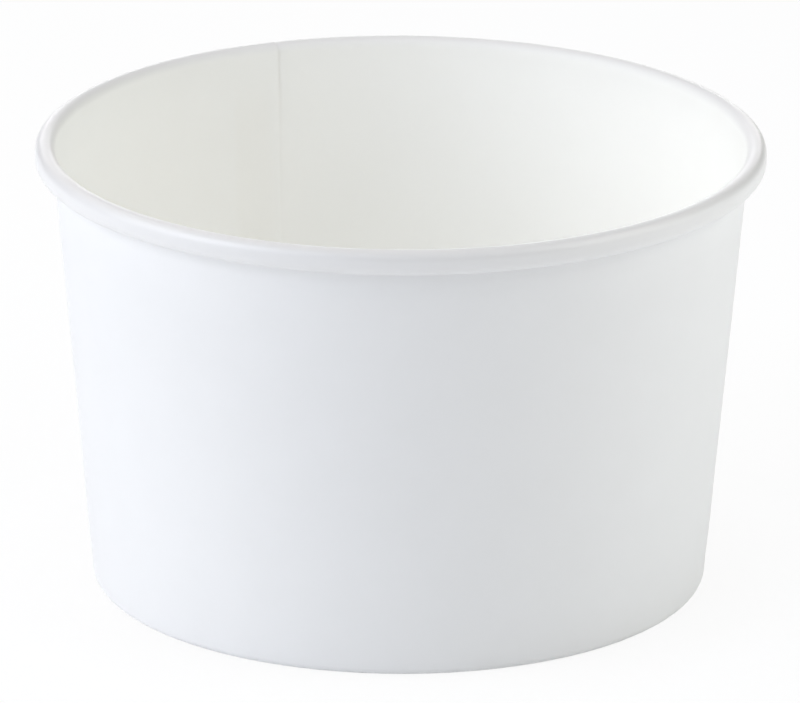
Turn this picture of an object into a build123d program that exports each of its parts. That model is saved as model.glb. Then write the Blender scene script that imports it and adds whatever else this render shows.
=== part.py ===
from build123d import *
import os
from math import atan2, cos, degrees, hypot, isclose, radians, sin, tan

# A plain white paper food cup: a wrapped and sealed board wall with a rolled rim, and a
# board bottom disc held up inside the foot. Sizes are in millimetres, +Z is up, the
# origin is the centre of the base and -Y is the front.

# Driving dimensions of the whole cup
rim_diameter = 90.0
height = 56.2
base_diameter = 76.0
board = 0.4  # thickness of the paper board
seal_gap = 0.05  # room between two layers of board

# Rolled rim
curl_overhang = 2.0  # the roll stands this far out from the wall carried up to its level
curl_height = 3.0
curl_open_turn = 50.0  # degrees of the lower bend before the roll tightens
curl_tuck_turn = 118.0  # degrees of the tighter bend that ends at the raw edge

# Foot: the wall's lower edge is folded in and up round the skirt of the bottom disc
foot_corner_radius = 1.1
foot_flat = 0.3
infold_height = 5.0

# Bottom disc
bottom_recess = 6.0  # underside of the disc above the table
skirt_lift = 0.5  # raw edge of the skirt above the inside of the fold

# Side seam: the two ends of the wrapped blank lap
seam_angle = 111.9  # where the raw edge of the inner end stands, counted from +X
lap_width = 6.1
lap_ramp = 3.0  # beside that edge the outer end comes down to the cup's inner face
lap_foot = 2.0  # the outer end is trimmed this far above the table
lap_head = 0.4  # and this far below the start of the roll
lap_seal = 0.5  # inside, the step ends this far below the head
lap_root = 0.2  # the lap is sunk this far into the wall that carries it

rim_radius = rim_diameter / 2
base_radius = base_diameter / 2
lean = atan2(rim_radius - curl_overhang - base_radius, height)


def wall_radius(z, depth=0.0):
    """Radius at height z of the surface that lies depth inside the wall's outside."""
    return base_radius + z * tan(lean) - depth / cos(lean)


def run(length):
    """A straight stretch of a walk."""
    return (None, length)


def bend(radius, turn):
    """A bend of a walk; a positive turn, in degrees, is to the left."""
    return (radius, turn)


def walk(start, heading, moves, shift):
    """The moves laid end to end from start, all moved sideways to the right by shift.
    A bend whose radius comes to nothing is a sharp crease and has no edge."""
    point = Vector(*start) + shift * Vector(sin(heading), -cos(heading))
    edges = []
    for radius, amount in moves:
        ahead = Vector(cos(heading), sin(heading))
        if radius is None:
            edges.append(Line(point, point + amount * ahead))
            point = edges[-1] @ 1
            continue
        heading += radians(amount)
        shifted = radius + shift * (1 if amount > 0 else -1)
        if isclose(shifted, 0, abs_tol=1e-6):
            edges.append(None)
        else:
            edges.append(JernArc(point, ahead, shifted, amount))
            point = edges[-1] @ 1
    return edges


def strip(route):
    """Section of one thickness of board laid to the right of a route."""
    near_side = walk(*route, 0)
    far_side = walk(*route, board)
    ends = [
        Line(near_side[0] @ 0, far_side[0] @ 0),
        Line(near_side[-1] @ 1, far_side[-1] @ 1),
    ]
    outline = [edge for edge in near_side + far_side + ends if edge]
    return Plane.XZ * make_face(outline)


def slab(outer, inner, low, top):
    """Section of the straight wall between two depths and two levels."""
    corners = [(outer, low), (outer, top), (inner, top), (inner, low)]
    outline = Polyline(*[(wall_radius(z, depth), z) for depth, z in corners], close=True)
    return Plane.XZ * make_face(outline)


def turned(section, angle):
    """The section swung about the cup's axis."""
    return Rot(Z=angle) * section


def spun(section, start, sweep):
    """The section revolved about the cup's axis, counter-clockwise seen from above."""
    return revolve(turned(section, start), Axis.Z, sweep)


def foot_moves():
    """Start, heading and moves of the cup's inner face from the raw end of the infold
    down and round the fold, and the height at which the straight wall begins."""
    corner = foot_corner_radius - board
    corner_z = board + corner
    crease_r = wall_radius(corner_z, board) - corner / cos(lean) - foot_flat

    # the infold leans so that its raw end closes on the skirt
    infold_r = wall_radius(infold_height, 2 * board + 2 * seal_gap)
    across = infold_r - crease_r
    up = infold_height - board
    infold_lean = atan2(across, up)

    moves = [
        run(hypot(across, up)),
        bend(0, 90 + degrees(infold_lean)),
        run(foot_flat),
        bend(corner, 90 - degrees(lean)),
    ]
    wall_start = corner_z - corner * sin(lean)
    return (infold_r, infold_height), radians(-90) - infold_lean, moves, wall_start


def roll_radius():
    """Outside radius of the roll's upper half, which fills the rim's width."""
    width = rim_radius - wall_radius(height, board)
    return width / (1 + cos(lean) - (1 - sin(lean)) * tan(lean))


def curl_moves(roll):
    """Moves through the rolled rim. Its raw edge stands clear of the wall by one more
    layer, so that the lapped seam passes behind it."""
    opened = radians(curl_open_turn)
    ended = radians(curl_open_turn + curl_tuck_turn)
    end_r = wall_radius(height - curl_height / 2, -board - 2 * seal_gap)
    tuck = (rim_radius - roll * (1 - cos(opened)) - end_r) / (cos(opened) - cos(ended))
    side = curl_height - roll - (roll - tuck) * sin(opened) - tuck
    return [
        bend(roll, degrees(lean) - 180),
        run(side),
        bend(roll, -curl_open_turn),
        bend(tuck, -curl_tuck_turn),
    ]


def wedge(first, last, start, sweep):
    """A solid that changes evenly from one section of the wall to another."""
    return loft([turned(first, start), turned(last, start + sweep)], ruled=True)


def make_sidewall():
    """The wrapped blank: infold, foot, wall and rolled rim in one, with its lap seam."""
    start, heading, foot, wall_start = foot_moves()
    roll = roll_radius()
    wall_end = height - roll * (1 - sin(lean))
    wall = run((wall_end - wall_start) / cos(lean))
    route = (start, heading, foot + [wall] + curl_moves(roll))
    blank = spun(strip(route), seam_angle + 180, 360)

    lap_r = wall_radius(height / 2)
    lap_sweep = degrees(lap_width / lap_r)
    ramp_sweep = degrees(lap_ramp / lap_r)
    ramp_start = seam_angle - ramp_sweep

    # the outer end lies on the wall, and rises to it from where it comes outside
    lap_top = wall_end - lap_head
    lapped = slab(-board, lap_root, lap_foot, lap_top)
    level = slab(seal_gap, lap_root, lap_foot, lap_top)
    lap = spun(lapped, seam_angle, lap_sweep)
    ramp = wedge(level, lapped, ramp_start, ramp_sweep)

    # inside, the same slope leaves the raw edge of the inner end bare
    air = board + lap_root
    step_top = lap_top - lap_seal
    bare = slab(0, air, bottom_recess, step_top)
    flush = slab(board + seal_gap, air, bottom_recess, step_top)
    step = wedge(flush, bare, ramp_start, ramp_sweep)
    return blank + (lap + ramp) - step


def make_bottom_disc():
    """A flat disc with a skirt turned down between the wall and the infold."""
    top = bottom_recess + board
    bend_z = top - board
    bend_r = wall_radius(bend_z, board + seal_gap) - board / cos(lean)
    skirt_top = bend_z - board * sin(lean)
    skirt_low = board + skirt_lift
    moves = [
        run(bend_r),
        bend(board, -90 - degrees(lean)),
        run((skirt_top - skirt_low) / cos(lean)),
    ]
    return spun(strip(((0, top), 0, moves)), 0, 360)


os.makedirs("parts", exist_ok=True)
export_step(make_sidewall(), "parts/sidewall.step")
export_step(make_bottom_disc(), "parts/bottom_disc.step")
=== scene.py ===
import math

import bmesh
import bpy
import numpy as np
from mathutils import Matrix, Vector


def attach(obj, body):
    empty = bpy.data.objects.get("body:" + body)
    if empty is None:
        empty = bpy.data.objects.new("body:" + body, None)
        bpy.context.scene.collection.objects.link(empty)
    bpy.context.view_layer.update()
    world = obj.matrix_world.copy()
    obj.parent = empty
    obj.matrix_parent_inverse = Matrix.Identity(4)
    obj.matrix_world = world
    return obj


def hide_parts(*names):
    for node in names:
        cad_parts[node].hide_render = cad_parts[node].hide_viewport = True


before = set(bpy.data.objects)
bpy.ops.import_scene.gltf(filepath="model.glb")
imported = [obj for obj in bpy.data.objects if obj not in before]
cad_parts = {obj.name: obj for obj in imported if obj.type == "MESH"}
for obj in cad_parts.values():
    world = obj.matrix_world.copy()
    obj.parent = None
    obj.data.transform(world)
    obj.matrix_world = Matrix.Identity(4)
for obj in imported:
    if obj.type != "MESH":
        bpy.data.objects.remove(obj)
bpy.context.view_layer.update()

MM = 0.001

# The whole cup
RIM_RADIUS = 45.0
BASE_RADIUS = 38.0
HEIGHT = 56.2
BOARD = 0.4  # thickness of the paper board
SEAL_GAP = 0.05  # room between two layers of board
WAVES = ((0.03, 3, 0.6), (0.02, 5, 2.1), (0.012, 9, 0.4))  # depth, count round the cup, phase

# Rolled rim
CURL_OVERHANG = 2.0  # the roll stands this far out from the wall carried up to its level
CURL_HEIGHT = 3.0
OPEN_TURN = 50.0  # degrees of the lower bend before the roll tightens
TUCK_TURN = 118.0  # degrees of the tighter bend that ends at the raw edge
LEAN = math.atan2(RIM_RADIUS - CURL_OVERHANG - BASE_RADIUS, HEIGHT)

# Foot and bottom disc
FOOT_RADIUS = 1.1
FOOT_FLAT = 0.3
INFOLD_HEIGHT = 5.0
TOOL_TEETH = 108  # the expanding tool presses the infold against the skirt
TOOL_DENT = 0.07
BOTTOM_RECESS = 6.0  # underside of the disc above the table
SKIRT_LIFT = 0.5  # raw edge of the skirt above the inside of the fold
DISC_SAG = 0.16
RING_RADIUS = 34.0
RING_DEPTH = 0.13
PUCKER_COUNTS = (23, 31, 41, 54)  # puckers of the disc's margin, in waves round the cup
PUCKER_DEPTH = 0.03

# Side seam. Angles called u are degrees round the cup from the raw edge of the inner end.
SEAM = 111.9  # where that edge stands, counted from +X
LAP = 8.6
RAMP = 3.0  # the outer end rises over this angle before it lies on the inner end
SKIVE = 3.4  # the inner end is pressed thin, and thickens over this angle
SKIVED_BOARD = 0.05  # its thickness at the raw edge
SEAL_FILM = 0.012  # between the two lapped layers
SHOW_THROUGH = 0.03  # height of the faint step where the outer end shows inside
EDGE_RIDGE = 0.016  # the inner end stands up this far just beside its raw edge

# Material slots of both pieces
OUTSIDE, FOOD_SIDE, RAW_EDGE, ROLLED = range(4)


def wall_r(z, depth=0.0):
    """Radius at height z of the surface that lies depth inside the wall's outside."""
    return BASE_RADIUS + z * math.tan(LEAN) - depth / math.cos(LEAN)


def smooth(x, low, high):
    """A soft step from 0 at low to 1 at high."""
    t = np.clip((np.asarray(x, float) - low) / (high - low), 0, 1)
    return t * t * (3 - 2 * t)


def hump(x, centre, width):
    """A bell of height 1."""
    return np.exp(-(((np.asarray(x, float) - centre) / width) ** 2))


def rgb(r, g, b):
    return (r, g, b, 1.0)


# Camera, placed in metres
CAMERA_ELEVATION = math.radians(18.77)
CAMERA_ROLL = math.radians(0.294)
CAMERA_DISTANCE = 1.188
CAMERA_TARGET = (0.00002, 0, 0.028616)
CAMERA_LENS = 431.5  # millimetres, on a sensor 36 mm wide


def add_camera():
    """The camera that the photograph's outlines were fitted with."""
    sine, cosine = math.sin(CAMERA_ELEVATION), math.cos(CAMERA_ELEVATION)
    back, right, up = Vector((0, -cosine, sine)), Vector((1, 0, 0)), Vector((0, sine, cosine))
    turned_right = math.cos(CAMERA_ROLL) * right + math.sin(CAMERA_ROLL) * up
    turned_up = -math.sin(CAMERA_ROLL) * right + math.cos(CAMERA_ROLL) * up
    axes = Matrix((turned_right, turned_up, back)).transposed().to_4x4()

    cam = bpy.data.objects.new("camera", bpy.data.cameras.new("camera"))
    bpy.context.scene.collection.objects.link(cam)
    place = Vector(CAMERA_TARGET) + CAMERA_DISTANCE * back
    cam.matrix_world = Matrix.Translation(place) @ axes
    cam.data.sensor_width, cam.data.lens = 36.0, CAMERA_LENS
    cam.data.clip_start, cam.data.clip_end = 0.01, 50.0
    bpy.context.scene.camera = cam


# Materials
class Tree:
    """Short calls for the nodes of a material or of the world."""

    def __init__(self, owner):
        owner.use_nodes = True
        self.owner = owner
        self.nodes, self.links = owner.node_tree.nodes, owner.node_tree.links
        self.nodes.clear()

    def put(self, socket, value):
        """Links a socket to another socket, or gives it a plain value."""
        if isinstance(value, bpy.types.NodeSocket):
            self.links.new(value, socket)
        else:
            socket.default_value = value

    def add(self, kind, inputs=(), **settings):
        node = self.nodes.new("ShaderNode" + kind)
        for key, value in settings.items():
            setattr(node, key, value)
        for key, value in dict(inputs).items():
            self.put(node.inputs[key], value)
        return node

    def noise(self, where, scale, detail, rough):
        inputs = {"Vector": where, "Scale": scale, "Detail": detail, "Roughness": rough}
        return self.add("TexNoise", inputs).outputs["Fac"]

    def stretched(self, where, across, along):
        """Coordinates that make a noise longer along the cup's axis."""
        node = self.add("Mapping", {"Vector": where, "Scale": (across, across, along)})
        return node.outputs["Vector"]

    def span(self, value, low, high, to_low, to_high):
        inputs = {"Value": value, "From Min": low, "From Max": high, "To Min": to_low, "To Max": to_high}
        return self.add("MapRange", inputs).outputs["Result"]

    def mix(self, factor, one, two, blend="MIX"):
        node = self.add("Mix", data_type="RGBA", blend_type=blend)
        for index, value in ((0, factor), (6, one), (7, two)):
            self.put(node.inputs[index], value)
        return node.outputs[2]

    def math(self, operation, one, two):
        node = self.add("Math", {0: one, 1: two}, operation=operation)
        return node.outputs[0]

    def mark(self, name):
        """A value written on the mesh's points."""
        return self.add("Attribute", attribute_name=name).outputs["Fac"]


def paper(name, base, shade, roughness, specular, fibre, other):
    """Bleached board: cloudy formation, fine crossed fibres and a calendered surface. The last
    argument, (mark, tone), mixes in a flat tone where the mark is: painted light under the roll on the
    outside, painted shade on the roll."""
    t = Tree(bpy.data.materials.new(name))
    where = t.add("TexCoord").outputs["Object"]
    cloud = t.noise(where, 140.0, 3.0, 0.55)
    grain = t.noise(where, 1500.0, 4.0, 0.65)
    fibres = t.noise(t.stretched(where, 2600.0, 700.0), 1.0, 3.0, 0.6)

    tone = t.mix(t.span(cloud, 0.3, 0.7, 0.0, 1.0), base, shade)
    tone = t.mix(t.span(fibres, 0.35, 0.75, 0.0, 0.35), tone, shade)
    # the mark's flat tone: painted light under the roll, painted shade on the roll
    tone = t.mix(t.mark(other[0]), tone, other[1])
    # where two layers lie on each other less light comes through the board
    doubled = t.mix(1.0, tone, rgb(0.985, 0.982, 0.975), "MULTIPLY")
    tone = t.mix(t.mark("lay"), tone, doubled)

    height = t.math("ADD", t.math("MULTIPLY", fibres, 0.7), t.math("MULTIPLY", grain, 0.5))
    fine = t.add("Bump", {"Height": height, "Strength": 0.35 * fibre, "Distance": 0.000012})
    waves = {
        "Height": t.noise(where, 90.0, 1.0, 0.4),
        "Strength": 0.5,
        "Distance": 0.00004,
        "Normal": fine.outputs["Normal"],
    }
    shader = t.add("BsdfPrincipled", {
        "Base Color": tone,
        "Roughness": t.span(grain, 0.3, 0.7, roughness - 0.05, roughness + 0.06),
        "Specular IOR Level": specular,
        "Normal": t.add("Bump", waves).outputs["Normal"],
    })
    t.add("OutputMaterial", {"Surface": shader.outputs[0]})
    return t.owner


def cut_edge(name):
    """The raw edge: pressed plies of pulp, a little creamier and rougher than the faces."""
    t = Tree(bpy.data.materials.new(name))
    where = t.add("TexCoord").outputs["Object"]
    plies = t.noise(t.stretched(where, 5200.0, 1300.0), 1.0, 4.0, 0.7)
    tone = t.mix(t.span(plies, 0.35, 0.7, 0.0, 1.0), rgb(0.80, 0.785, 0.74), rgb(0.88, 0.87, 0.835))
    bump = t.add("Bump", {"Height": plies, "Strength": 0.6, "Distance": 0.00003})
    shader = t.add("BsdfPrincipled", {
        "Base Color": tone,
        "Roughness": 0.85,
        "Specular IOR Level": 0.2,
        "Normal": bump.outputs["Normal"],
    })
    t.add("OutputMaterial", {"Surface": shader.outputs[0]})
    return t.owner


def board_materials():
    """The four looks of the board, in the order of the material slots."""
    food_side = rgb(0.965, 0.966, 0.947), rgb(0.955, 0.956, 0.935)
    outside = rgb(0.868, 0.871, 0.873), rgb(0.858, 0.861, 0.862)
    # painted light: a lighter tone on the outside of the wall just under the roll, where its overhang
    # shades it
    painted_light_under_roll = ("painted_light_under_roll", rgb(0.95, 0.95, 0.95))
    # painted shade: a darker tone on the roll, where little light falls from above; the roll is the same
    # food-side board as the inside
    rolled = ("rolled", rgb(0.825, 0.823, 0.823))
    return [
        paper("board_outside", *outside, 0.62, 0.15, 1.0, painted_light_under_roll),
        paper("board_food_side", *food_side, 0.5, 0.3, 0.7, rolled),
        cut_edge("board_raw_edge"),
        paper("board_rolled_rim", *food_side, 0.36, 0.9, 0.5, rolled),
    ]


# Meshes
class Path:
    """The board's food side in section, walked from one raw end to the other."""

    def __init__(self, r, z, heading):
        self.at, self.heading = np.array([r, z], float), heading
        self.rows, self.tags, self.length = [], [], 0.0

    def _put(self, tag):
        to_right = (math.sin(self.heading), -math.cos(self.heading))
        self.rows.append((*self.at, *to_right, self.length))
        self.tags.append(tag)

    def run(self, length, shares, tag):
        """A straight stretch with a row at each share of its length."""
        start, before = self.at.copy(), self.length
        ahead = np.array([math.cos(self.heading), math.sin(self.heading)])
        for share in shares:
            self.at, self.length = start + ahead * length * share, before + length * share
            self._put(tag)

    def bend(self, radius, turn, steps, tag):
        """A bend in equal steps; a positive turn, in degrees, is to the left."""
        start, before, first = self.at.copy(), self.length, self.heading
        side = 1 if turn > 0 else -1
        centre = start + side * radius * np.array([-math.sin(first), math.cos(first)])
        for k in range(1, steps + 1):
            self.heading = first + math.radians(turn) * k / steps
            self.at = centre - side * radius * np.array([-math.sin(self.heading), math.cos(self.heading)])
            self.length = before + radius * math.radians(abs(turn)) * k / steps
            self._put(tag)

    def columns(self):
        """Radius, height, the way to the far side and the length so far, and the tags."""
        table = np.array(self.rows)
        return [table[:, k:k + 1] for k in range(5)], np.array(self.tags)[:, None]


def foot_path():
    """From the raw end of the infold down and round the fold, and where the wall starts."""
    corner = FOOT_RADIUS - BOARD
    corner_z = BOARD + corner
    crease_r = wall_r(corner_z, BOARD) - corner / math.cos(LEAN) - FOOT_FLAT
    infold_r = wall_r(INFOLD_HEIGHT, 2 * BOARD + 2 * SEAL_GAP)
    across, up = infold_r - crease_r, INFOLD_HEIGHT - BOARD
    infold_lean = math.atan2(across, up)

    path = Path(infold_r, INFOLD_HEIGHT, math.radians(-90) - infold_lean)
    path.run(math.hypot(across, up), [0, 0.08, 0.3, 0.55, 0.8, 0.95, 1], "infold")
    path.bend(0.0, 90 + math.degrees(infold_lean), 5, "fold")
    path.run(FOOT_FLAT, [1], "foot")
    path.bend(corner, 90 - math.degrees(LEAN), 6, "foot")
    return path, corner_z - corner * math.sin(LEAN)


def board_path():
    """The whole blank: infold, foot, wall and rolled rim."""
    path, wall_start = foot_path()
    width = RIM_RADIUS - wall_r(HEIGHT, BOARD)
    roll = width / (1 + math.cos(LEAN) - (1 - math.sin(LEAN)) * math.tan(LEAN))
    wall_end = HEIGHT - roll * (1 - math.sin(LEAN))
    tall = (wall_end - wall_start) / math.cos(LEAN)
    low_rows = [1.0, 2.2, 3.4, 4.6, 5.8, 6.8, 7.6, 8.4, 9.2, 10.2, 11.6, 13.4]
    high_rows = [*range(16, 44, 3), 45.5, 47.5, 49.5, 51, 52.2]
    path.run(tall, [row / tall for row in low_rows + high_rows] + [1], "wall")

    opened, ended = math.radians(OPEN_TURN), math.radians(OPEN_TURN + TUCK_TURN)
    end_r = wall_r(HEIGHT - CURL_HEIGHT / 2, -BOARD - 2 * SEAL_GAP)
    tuck = (RIM_RADIUS - roll * (1 - math.cos(opened)) - end_r) / (math.cos(opened) - math.cos(ended))
    side = CURL_HEIGHT - roll - (roll - tuck) * math.sin(opened) - tuck
    path.bend(roll, math.degrees(LEAN) - 180, 18, "roll")
    path.run(side, [0.5, 1], "roll")
    path.bend(roll, -OPEN_TURN, 6, "roll")
    path.bend(tuck, -TUCK_TURN, 10, "tuck")
    return path


class Skin:
    """The faces of a sheet and the material slot of each."""

    def __init__(self):
        self.faces, self.slots = [], []

    def grid(self, ids, slot, flip):
        a, b, c, d = ids[:-1, :-1], ids[:-1, 1:], ids[1:, 1:], ids[1:, :-1]
        quads = np.stack([a, d, c, b] if flip else [a, b, c, d], -1).reshape(-1, 4)
        self.faces.extend(quads)
        self.slots.extend([slot] * len(quads))

    def cap(self, ring, slot):
        self.faces.append(tuple(ring))
        self.slots.append(slot)


def make_object(name, points, skin, materials, marks=None):
    mesh = bpy.data.meshes.new(name)
    faces = [tuple(map(int, face)) for face in skin.faces]
    mesh.from_pydata((np.asarray(points) * MM).tolist(), [], faces)
    for material in materials:
        mesh.materials.append(material)
    mesh.polygons.foreach_set("material_index", np.asarray(skin.slots, np.int32))
    mesh.polygons.foreach_set("use_smooth", np.ones(len(faces), bool))
    for mark, values in (marks or {}).items():
        attribute = mesh.attributes.new(mark, "FLOAT", "POINT")
        attribute.data.foreach_set("value", np.asarray(values, np.float32))
    shape = bmesh.new()
    shape.from_mesh(mesh)
    bmesh.ops.remove_doubles(shape, verts=shape.verts, dist=1e-7)  # a sharp crease has no width
    shape.to_mesh(mesh)
    shape.free()
    mesh.validate()
    mesh.update()
    mesh.set_sharp_from_angle(angle=math.radians(38.0))
    obj = bpy.data.objects.new(name, mesh)
    bpy.context.scene.collection.objects.link(obj)
    return obj


# The wrapped wall
def seam_azimuth(z):
    """The raw edge leans a little and isn't quite straight."""
    return SEAM + 0.3 - 0.024 * (z - 30) + 0.05 * np.sin(z * 0.35) + 0.03 * np.sin(z * 1.1 + 1.0)


def seam_columns():
    """The angles u at which the sheet is drawn, denser where its ends lap."""
    inner_edge = [0, 0.15, 0.35, 0.55, 0.75, 0.95, 1.2]
    lap_end = [LAP + d for d in (-0.5, -0.2, 0, 0.2, 0.5)]
    rise = [360 - d for d in (RAMP, 1.0, 0.6, 0.45, 0.32, 0.2, 0.05, 0, -0.3)]
    fine = inner_edge + lap_end + rise + [360 + LAP]
    even = [u for u in np.arange(0, 360 + LAP, 360 / 432) if min(abs(u - f) for f in fine) > 0.1]
    return np.array(sorted(even + fine))[None, :]


def lap_offsets(z, u, is_wall, is_roll, free):
    """How far the sheet's food side and outside lie outside its path. free is 0 where the
    lap's two layers are pressed into one thickness, and 1 where each keeps its own."""
    # the raw edge is pressed less thin at the top of the wall and on the roll
    step = SKIVED_BOARD + 0.06 * smooth(z, 46, 53) * is_wall + 0.05 * is_roll
    half = BOARD * (0.5 + 0.5 * free)

    def layer(turn):
        """Thickness of the inner end at an angle from its raw edge."""
        thick = step + (BOARD - step) * smooth(turn, 0.0, SKIVE)
        return BOARD / 2 + (thick - BOARD / 2) * free

    lies_over = u >= 360
    rises = u >= 360 - RAMP
    ramp = 0.5 * smooth(u, 360 - RAMP, 360) ** 2 + 0.5 * smooth(u, 359.4, 359.95)
    near_over = layer(u - 360) + SEAL_FILM
    near = np.where(lies_over, near_over, np.where(rises, ramp * (layer(0) + SEAL_FILM), 0.0))
    far_over = layer(u - 360) + SEAL_FILM * free + half
    far_rise = BOARD + ramp * (layer(0) + SEAL_FILM * free + half - BOARD)
    far_under = layer(u) + (BOARD - layer(u)) * smooth(u, LAP, LAP + 0.9)
    far = np.select([lies_over, rises, u < 180], [far_over, far_rise, far_under], BOARD)

    press = (1 - smooth(u, LAP - 1.0, LAP + 1.2)) * (u < 180)
    press = press * is_wall * smooth(z, 7, 10) * (1 - smooth(z, 48, 53))
    ridge = hump(u, 0.6, 0.33) * is_wall * smooth(z, 7, 12)
    return near - SHOW_THROUGH * press - EDGE_RIDGE * ridge, far


def wall_bulges(z, u):
    """The shoulder that the foot's tool left, and the hand-sized waves of thin board."""
    shoulder = 0.045 * hump(z, 8.0, 3.2) - 0.02 * hump(z, 3.2, 2.0)
    round_cup = np.radians(u + SEAM)
    wave = sum(depth * np.sin(count * round_cup + phase) for depth, count, phase in WAVES)
    # none at the rim and foot, which the roll and the fold hold
    return shoulder + wave * np.sin(np.pi * np.clip(z / 53.0, 0, 1)) ** 2


def tool_bite(z, u):
    """Dents that the expanding tool's teeth leave in the infold."""
    teeth = 0.5 - 0.5 * np.cos(np.radians(u) * TOOL_TEETH)
    return TOOL_DENT * teeth * smooth(z, 0.8, 1.8) * (1 - smooth(z, 4.2, 4.8))


def make_wall(materials):
    (r0, z0, nr, nz, along), tags = board_path().columns()
    is_wall = tags == "wall"
    is_roll = np.isin(tags, ("roll", "tuck"))
    under = np.isin(tags, ("infold", "fold", "foot"))
    u = seam_columns()

    tuck_start = along[tags == "tuck"].min()
    free = np.where(under, 0.0, smooth(z0, 2.2, 5.0))
    free = np.where(is_roll, 1.0, free)
    free = free * (1 - smooth(along, tuck_start - 0.6, tuck_start + 0.8))
    near, far = lap_offsets(z0, u, is_wall, is_roll, free)
    bulges = wall_bulges(z0, u) * is_wall
    bite = tool_bite(z0, u) * (tags == "infold")
    theta = np.radians(seam_azimuth(np.clip(z0, 0, HEIGHT)) + u)

    def surface(shift, dents):
        r = r0 + nr * (shift - dents) + bulges
        z = z0 + nz * shift
        return np.stack([r * np.cos(theta), r * np.sin(theta), z + 0 * u], -1)

    inside, outside = surface(near, 0.0), surface(far, bite)
    points = np.concatenate([inside.reshape(-1, 3), outside.reshape(-1, 3)])
    inner = np.arange(theta.size).reshape(theta.shape)
    outer = inner + theta.size
    # the smoother look starts a third of the way round the roll's upper bend
    glossy = np.flatnonzero(tags == "roll")[0] + 5
    skin = Skin()
    skin.grid(inner[:glossy + 1], FOOD_SIDE, True)
    skin.grid(inner[glossy:], ROLLED, True)
    skin.grid(outer, OUTSIDE, False)
    skin.grid(np.stack([inner[:, 0], outer[:, 0]]), RAW_EDGE, True)
    skin.grid(np.stack([inner[:, -1], outer[:, -1]]), RAW_EDGE, False)
    skin.grid(np.stack([inner[0], outer[0]]), RAW_EDGE, False)
    skin.grid(np.stack([inner[-1], outer[-1]]), RAW_EDGE, True)

    double = np.where(u < 180, smooth(u, 0.0, 3.0) - smooth(u, LAP - 1.1, LAP + 0.8), 0.0)
    double = double * is_wall * smooth(z0, 7, 9) * (1 - smooth(z0, 47, 53))
    wall_end = along[is_wall].max()
    # painted shade: the roll is made darker, starting where the wall ends and going on round the roll
    over = is_roll * smooth(along, wall_end - 0.1, wall_end + 1.5) + 0 * u
    # painted light: the outside of the wall just under the roll is made lighter, where the roll's
    # overhang shades it, fading out downwards
    glow = is_wall * np.exp(-np.clip(53.2 - z0, 0, None) / 1.8) + 0 * u
    nought = np.zeros(theta.size)
    marks = {
        "lay": np.concatenate([double.reshape(-1), nought]),
        "rolled": np.concatenate([over.reshape(-1), nought]),
        "painted_light_under_roll": np.concatenate([nought, glow.reshape(-1)]),
    }
    wall = make_object("cup_wall", points, skin, materials, marks)
    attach(wall, "root")
    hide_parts("sidewall")


# The bottom disc
def disc_path():
    """From the disc's middle out to its edge and down to the skirt's raw end."""
    bend_r = wall_r(BOTTOM_RECESS, BOARD + SEAL_GAP) - BOARD / math.cos(LEAN)
    skirt_top = BOTTOM_RECESS - BOARD * math.sin(LEAN)
    skirt_low = BOARD + SKIRT_LIFT
    middle = [0.002, 4, 9, 14, 19, 24, 28, 31, 32.4, 33]
    margin = [33.4, 33.7, 34, 34.3, 34.6, 35, 35.4, 35.8, 36.2, 36.6, 36.9, 37.25]
    path = Path(0.0, BOTTOM_RECESS + BOARD, 0.0)
    path.run(bend_r, [r / bend_r for r in middle + margin] + [1], "flat")
    path.bend(BOARD, -90 - math.degrees(LEAN), 6, "bend")
    path.run((skirt_top - skirt_low) / math.cos(LEAN), [k / 4 for k in range(5)], "skirt")
    return path, bend_r


def make_disc(materials):
    """The disc sinks a little in the middle, has a pressed ring, and puckers at its margin."""
    path, bend_r = disc_path()
    (r0, z0, nr, nz, _), tags = path.columns()
    columns = 288
    angle = np.linspace(0, 2 * np.pi, columns, endpoint=False)[None, :]

    sag = -DISC_SAG * (1 - np.clip(r0 / 33.5, 0, 1) ** 2)
    sag = sag + 0.012 * np.sin(2 * angle + 0.5) * hump(r0, 20, 12)
    ring = -RING_DEPTH * hump(r0, RING_RADIUS, 0.55)
    rng = np.random.default_rng(7)
    pucker = sum(rng.uniform(0.3, 1.0) * np.sin(k * angle + rng.uniform(0, 6.28)) for k in PUCKER_COUNTS)
    margin = smooth(r0, RING_RADIUS, 36.2) * (1 - smooth(r0, 36.9, bend_r))
    pucker = -PUCKER_DEPTH * np.clip(pucker, 0, None) * margin
    dip = (sag + ring + pucker) * (tags == "flat")

    def surface(shift):
        r = r0 + nr * shift + 0 * angle
        z = z0 + nz * shift + dip
        return np.stack([r * np.cos(angle), r * np.sin(angle), z], -1)

    top, underside = surface(0.0), surface(BOARD)
    points = np.concatenate([top.reshape(-1, 3), underside.reshape(-1, 3)])
    ring_ids = np.arange(len(r0) * columns).reshape(len(r0), columns)
    inner = np.concatenate([ring_ids, ring_ids[:, :1]], 1)
    outer = inner + len(r0) * columns
    skin = Skin()
    skin.grid(inner, FOOD_SIDE, True)
    skin.grid(outer, OUTSIDE, False)
    skin.grid(np.stack([inner[-1], outer[-1]]), RAW_EDGE, True)
    skin.cap(inner[0, :-1], FOOD_SIDE)
    skin.cap(outer[0, :-1][::-1], OUTSIDE)
    disc = make_object("cup_bottom", points, skin, materials[:ROLLED])
    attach(disc, "root")
    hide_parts("bottom_disc")


# Stage and light
FLOOR_RADIUS = 4.0  # metres
FLOOR_WHITE = 0.87  # share of plain white that the floor shows to the camera
WINDOW = (1.0, 1.0)  # sizes of the lamps, in metres
NEAR_WINDOW = (0.333, 0.333)
LOW_STRIP = (0.8, 0.28)
FAR, NEAR = 1.2, 0.4  # metres from the cup


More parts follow.
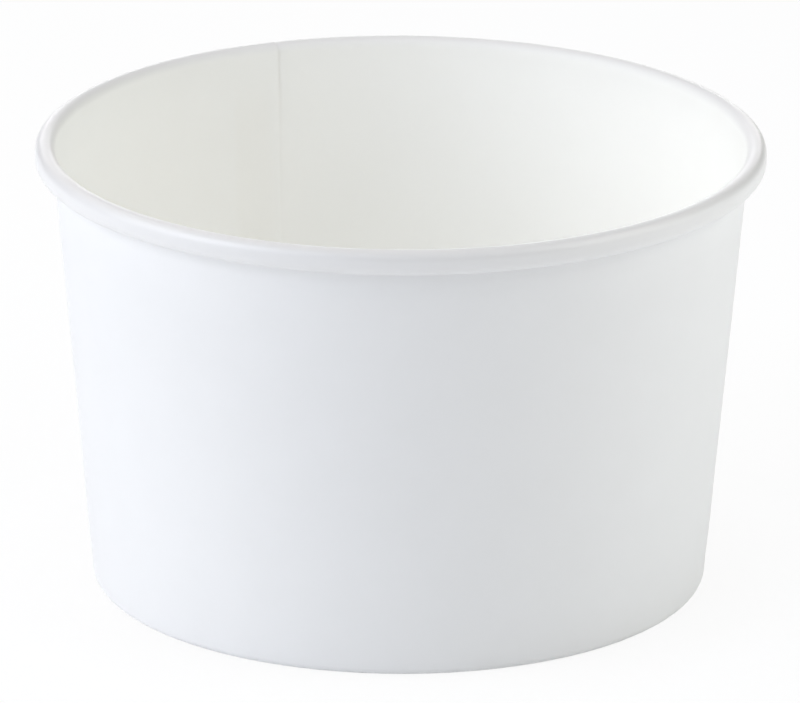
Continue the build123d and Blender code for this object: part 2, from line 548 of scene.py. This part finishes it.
def white_stage():
    """A white floor, lit a little from beneath like a light table but dark under the cup."""
    t = Tree(bpy.data.materials.new("white_floor"))
    rays = t.add("LightPath").outputs
    seen = t.math("MAXIMUM", rays["Is Glossy Ray"], rays["Is Transmission Ray"])
    seen = t.math("MAXIMUM", rays["Is Camera Ray"], seen)
    matt = t.add("BsdfDiffuse", {"Color": rgb(0.9, 0.9, 0.9)})
    where = t.add("TexCoord").outputs["Object"]
    away = t.add("VectorMath", {0: where}, operation="LENGTH").outputs["Value"]
    glow = t.span(away, 0.037, 0.052, 0.0, 0.1365)
    lit = t.add("Emission", {"Color": rgb(0.92, 1.0, 1.11), "Strength": glow})
    table = t.add("AddShader", {0: matt.outputs[0], 1: lit.outputs[0]})
    plain = t.add("Emission", {"Color": rgb(1, 1, 1), "Strength": 1.0})
    share = t.math("MULTIPLY", seen, FLOOR_WHITE)
    both = t.add("MixShader", {0: share, 1: table.outputs[0], 2: plain.outputs[0]})
    t.add("OutputMaterial", {"Surface": both.outputs[0]})

    mesh = bpy.data.meshes.new("floor")
    turns = np.linspace(0, 2 * math.pi, 64, endpoint=False)
    edge = [(FLOOR_RADIUS * math.cos(a), FLOOR_RADIUS * math.sin(a), 0.0) for a in turns]
    mesh.from_pydata(edge, [], [tuple(range(len(edge)))])
    mesh.materials.append(t.owner)
    floor = bpy.data.objects.new("floor", mesh)
    bpy.context.scene.collection.objects.link(floor)


def dome_light(strength, colour):
    """A soft ceiling that fades out towards the horizon; the camera sees plain white."""
    t = Tree(bpy.data.worlds.new("studio"))
    bpy.context.scene.world = t.owner
    where = t.add("TexCoord").outputs["Generated"]
    height = t.add("SeparateXYZ", {0: where}).outputs["Z"]
    ceiling = t.span(height, 0.3, 0.7, 0.0, strength)
    soft = t.add("Background", {"Color": rgb(*colour), "Strength": ceiling})
    plain = t.add("Background", {"Color": rgb(1, 1, 1), "Strength": 1.0})
    rays = t.add("LightPath").outputs
    seen = t.math("MAXIMUM", rays["Is Camera Ray"], rays["Is Transmission Ray"])
    both = t.add("MixShader", {0: seen, 1: soft.outputs[0], 2: plain.outputs[0]})
    t.add("OutputWorld", {"Surface": both.outputs[0]})


def soft_box(name, azimuth, elevation, size, power, colour, distance=FAR):
    """An area lamp aimed at the cup; azimuth 0 is behind the camera and 90 is on its right."""
    a, e = math.radians(azimuth), math.radians(elevation)
    way = Vector((math.sin(a) * math.cos(e), -math.cos(a) * math.cos(e), math.sin(e)))
    lamp = bpy.data.lights.new(name, "AREA")
    lamp.shape, lamp.size, lamp.size_y = "RECTANGLE", size[0], size[1]
    lamp.energy, lamp.color = power, colour
    obj = bpy.data.objects.new(name, lamp)
    bpy.context.scene.collection.objects.link(obj)
    obj.location = Vector((0, 0, 0.03)) + way * distance
    obj.rotation_mode = "QUATERNION"
    obj.rotation_quaternion = way.to_track_quat("Z", "Y")


def add_light():
    """A window on the left, fills all round, and low strips for the white table's light."""
    dome_light(0.448, (1.013, 1.0, 0.985))
    soft_box("window_left", -75, 28, WINDOW, 7.8, (0.985, 1.0, 1.037))
    soft_box("window_front", -45, 28, WINDOW, 2.66, (0.922, 1.0, 1.166))
    soft_box("window_right", 75, 30, NEAR_WINDOW, 0.645, (1.0, 1.0, 0.956), NEAR)
    soft_box("window_back", -135, 45, NEAR_WINDOW, 0.23, (1.07, 1.0, 0.95), NEAR)
    soft_box("low_right", 110, 10, LOW_STRIP, 1.06, (0.9, 1.0, 1.03))
    soft_box("low_back", 180, 12, LOW_STRIP, 2.19, (1.0, 1.0, 1.022))


add_camera()
bpy.context.scene.view_settings.view_transform = "Standard"
bpy.context.scene.cycles.diffuse_bounces = 10  # light goes round a white cup many times
board = board_materials()
make_wall(board)
make_disc(board)
white_stage()
add_light()
